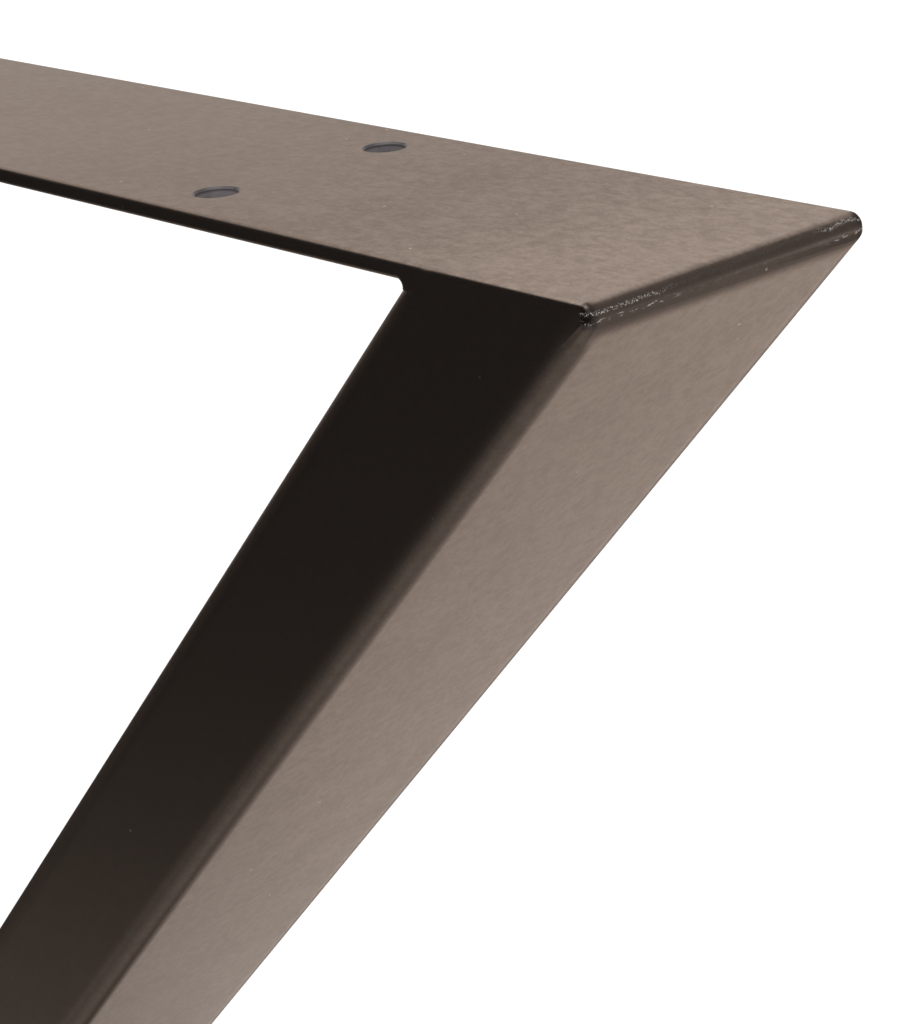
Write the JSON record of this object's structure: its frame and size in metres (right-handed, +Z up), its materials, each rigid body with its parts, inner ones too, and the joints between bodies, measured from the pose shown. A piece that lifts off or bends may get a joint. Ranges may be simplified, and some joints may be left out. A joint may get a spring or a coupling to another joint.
{
  "type": "metal table leg",
  "caption": "Crossed table leg frame of rectangular steel tube, welded under a flat drilled top plate, with closed feet on floor glides.",
  "frame": {"origin": "on the floor, under the middle of the frame", "axes": "+Z up, +X along the top plate towards the end that the through leg reaches, +Y through the depth towards the back"},
  "size_m": [0.75, 0.08, 0.72],
  "materials": {
    "coated_steel": "satin fine-grained powder coat, warm taupe brown",
    "glide_plastic": "matt black moulded plastic"
  },
  "bodies": {
    "root": {"top_plate": "coated_steel", "through_leg": "coated_steel", "upper_half_leg": "coated_steel", "lower_half_leg": "coated_steel", "left_foot_plate": "coated_steel", "right_foot_plate": "coated_steel", "weld_top_right": "coated_steel", "weld_top_left": "coated_steel", "crossing_welds": "coated_steel", "left_front_glide": "glide_plastic", "left_rear_glide": "glide_plastic", "right_front_glide": "glide_plastic", "right_rear_glide": "glide_plastic"}
  },
  "joints": []
}
